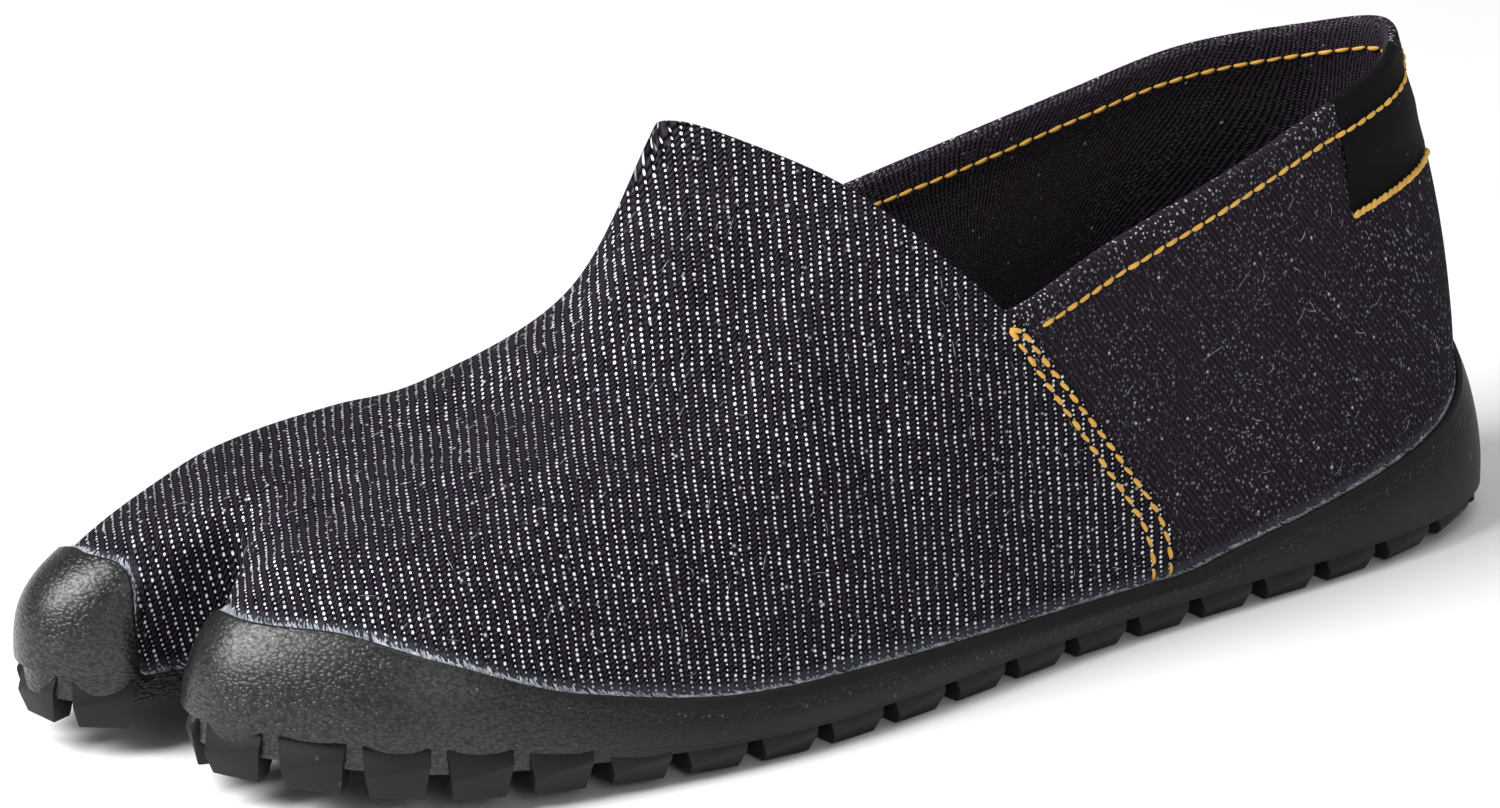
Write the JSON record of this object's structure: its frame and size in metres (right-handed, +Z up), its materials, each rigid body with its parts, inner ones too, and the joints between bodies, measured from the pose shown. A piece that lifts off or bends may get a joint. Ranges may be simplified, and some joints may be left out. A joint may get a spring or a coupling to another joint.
{
  "type": "split-toe slip-on shoe",
  "caption": "Left split-toe slip-on shoe: hollow denim upper with a stitched collar and side seams, set in a lugged rubber cup sole whose wall rises into toe caps.",
  "frame": {"origin": "centre of the shoe's plan box, on the floor", "axes": "+X towards the toes, +Y towards the outer side of the foot, +Z up"},
  "size_m": [0.2639, 0.093, 0.0914],
  "materials": {
    "rubber": "matte black moulded rubber with a fine grain on the toe caps",
    "denim": "dark indigo twill with pale weft flecks",
    "footbed": "dark woven footbed cover",
    "ribbon": "plain black woven ribbon",
    "thread": "thick gold topstitching thread"
  },
  "bodies": {
    "root": {"sole": "rubber", "upper": "denim", "insole": "footbed", "heel_tab": "ribbon"}
  },
  "joints": []
}
